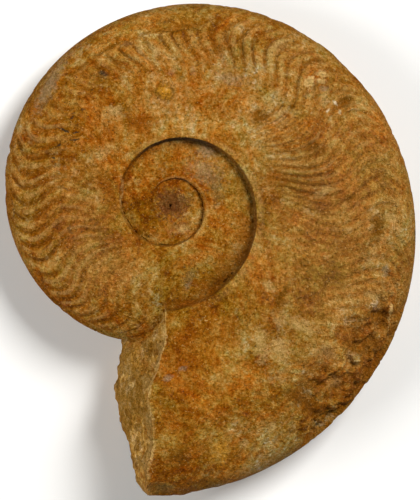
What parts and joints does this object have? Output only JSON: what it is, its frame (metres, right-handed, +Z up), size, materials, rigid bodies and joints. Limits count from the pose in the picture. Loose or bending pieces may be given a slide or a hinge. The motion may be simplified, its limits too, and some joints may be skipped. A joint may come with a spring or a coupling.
{
  "type": "ammonite fossil",
  "caption": "Flat-coiled ammonite in ochre limestone with sickle-shaped ribs, a stepped umbilicus and a broken mouth, lying on its side.",
  "frame": {"origin": "on the supporting surface, under the middle of the fossil's outline", "axes": "+Z up, along the coil's axis; +Y along the fossil's longest extent, away from the broken mouth; the shell widens clockwise seen from above"},
  "size_m": [0.1332, 0.1602, 0.0354],
  "materials": {
    "limestone": "dull, ochre mottled with rust and grey"
  },
  "bodies": {
    "root": {"ammonite": "limestone"}
  },
  "joints": []
}
